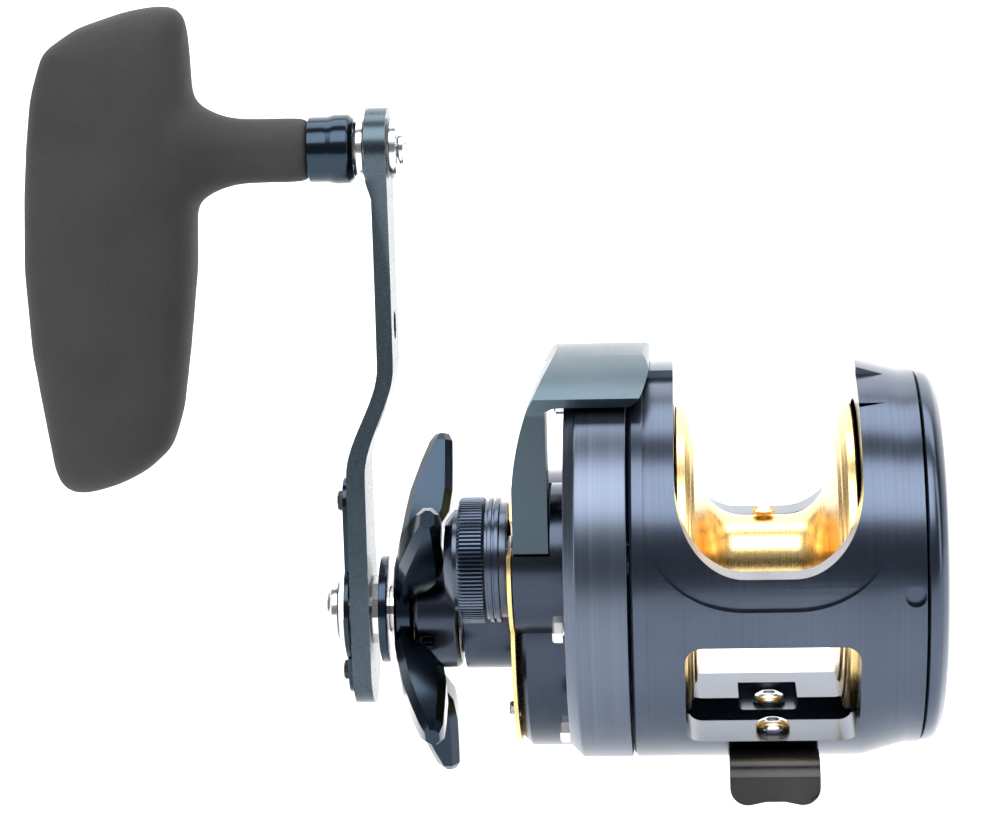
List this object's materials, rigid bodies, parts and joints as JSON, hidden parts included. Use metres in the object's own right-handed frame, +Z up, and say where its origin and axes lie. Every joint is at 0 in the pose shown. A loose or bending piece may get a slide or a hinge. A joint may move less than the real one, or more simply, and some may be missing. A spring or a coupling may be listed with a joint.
{
  "type": "trolling reel",
  "caption": "Left-hand star-drag overhead fishing reel with gold spool, thumb clutch lever, offset crank and hanging T grip.",
  "frame": {"origin": "middle of the flat land in the foot's saddle, where the rod's reel seat bears", "axes": "+X along the spool axis from the crank side to the palm side, +Y away from the angler, +Z up from the foot to the spool"},
  "size_m": [0.1636, 0.0852, 0.1427],
  "materials": {
    "navy_anodised": "satin anodised",
    "brushed_navy": "lathe brushed and anodised",
    "gloss_navy": "polished anodised",
    "teal_satin": "bead-blasted anodised",
    "gold_anodised": "bright gold anodised",
    "gear_brass": "machined",
    "black_painted": "satin black",
    "grip_foam": "matte dense foam, fine grain",
    "carbon_washer": "matte carbon fibre",
    "stainless_steel": "polished"
  },
  "bodies": {
    "frame": {"frame": "navy_anodised", "reel_foot": "black_painted", "foot_screw_1": "stainless_steel", "foot_screw_2": "stainless_steel", "gear_side_plate": "brushed_navy", "side_plate_screw_1": "stainless_steel", "side_plate_screw_2": "stainless_steel", "side_plate_screw_3": "stainless_steel", "gearbox_cover": "navy_anodised", "trim_plate": "gold_anodised", "cover_screw_1": "stainless_steel", "cover_screw_2": "stainless_steel", "cover_screw_3": "stainless_steel", "drive_collar": "navy_anodised", "palm_side_cap": "navy_anodised", "left_spool_bearing": "stainless_steel", "right_spool_bearing": "stainless_steel", "shaft_end_bearing": "stainless_steel", "drive_shaft_bearing": "stainless_steel", "anti_reverse_bearing": "stainless_steel", "yoke_post_1": "stainless_steel", "yoke_post_2": "stainless_steel", "yoke_spring_1": "stainless_steel", "yoke_spring_2": "stainless_steel"},
    "spool": {"spool": "gold_anodised", "line_pin": "gold_anodised", "spool_shaft": "stainless_steel"},
    "pinion": {"pinion_gear": "gear_brass"},
    "yoke": {"yoke": "black_painted"},
    "clutch": {"clutch_lever": "teal_satin", "clutch_ring": "stainless_steel"},
    "tension_cap": {"tension_cap": "navy_anodised", "tension_disc": "carbon_washer"},
    "handle": {"drive_shaft": "stainless_steel", "drive_gear": "gear_brass", "drag_washer_1": "carbon_washer", "drag_plate": "stainless_steel", "drag_washer_2": "carbon_washer", "pressure_plate": "stainless_steel", "ratchet": "stainless_steel", "anti_reverse_sleeve": "stainless_steel", "click_plate": "gloss_navy", "arm_spacer": "stainless_steel", "handle_arm": "navy_anodised", "retainer_plate": "gloss_navy", "retainer_screw_1": "black_painted", "retainer_screw_2": "black_painted", "handle_nut": "stainless_steel", "nut_cap": "stainless_steel", "knob_spindle": "stainless_steel", "knob_washer": "stainless_steel", "arm_washer": "stainless_steel", "spindle_screw": "stainless_steel"},
    "star": {"star_wheel": "gloss_navy", "star_barrel": "navy_anodised", "drag_spring_washer": "stainless_steel"},
    "grip": {"grip": "grip_foam", "grip_ferrule": "gloss_navy", "knob_bearing_1": "stainless_steel", "knob_bearing_2": "stainless_steel"}
  },
  "joints": [
    {"name": "handle_spin", "type": "hinge", "parent": "frame", "child": "handle", "pos_m": [-0.05, 0.0182, 0.02278], "axis": [1, 0, 0], "continuous": true},
    {"name": "spool_spin", "type": "hinge", "parent": "frame", "child": "spool", "pos_m": [0, 0, 0.036], "axis": [1, 0, 0], "continuous": true},
    {"name": "clutch_throw", "type": "hinge", "parent": "frame", "child": "clutch", "pos_m": [-0.04, 0, 0.036], "axis": [-1, 0, 0], "range_deg": [0, 28]},
    {"name": "yoke_slide", "type": "slide", "parent": "frame", "child": "yoke", "axis": [-1, 0, 0], "range_m": [0, 0.00142], "deforming": ["yoke_spring_1", "yoke_spring_2"]},
    {"name": "pinion_spin", "type": "hinge", "parent": "yoke", "child": "pinion", "pos_m": [-0.035, 0, 0.036], "axis": [1, 0, 0], "continuous": true},
    {"name": "tension_cap_turn", "type": "hinge", "parent": "frame", "child": "tension_cap", "pos_m": [-0.05, 0, 0.036], "axis": [1, 0, 0], "range_deg": [-180, 180]},
    {"name": "star_turn", "type": "hinge", "parent": "handle", "child": "star", "pos_m": [-0.062, 0.0182, 0.02278], "axis": [1, 0, 0], "range_deg": [-180, 180]},
    {"name": "grip_spin", "type": "hinge", "parent": "handle", "child": "grip", "pos_m": [-0.09, 0.0182, 0.10708], "axis": [1, 0, 0], "continuous": true}
  ],
  "couplings": [
    {"joint": "spool_spin", "follows": "handle_spin", "ratio": -5.6667},
    {"joint": "pinion_spin", "follows": "handle_spin", "ratio": -5.6667},
    {"joint": "yoke_slide", "follows": "clutch_throw", "m_per_rad": 0.002865}
  ]
}
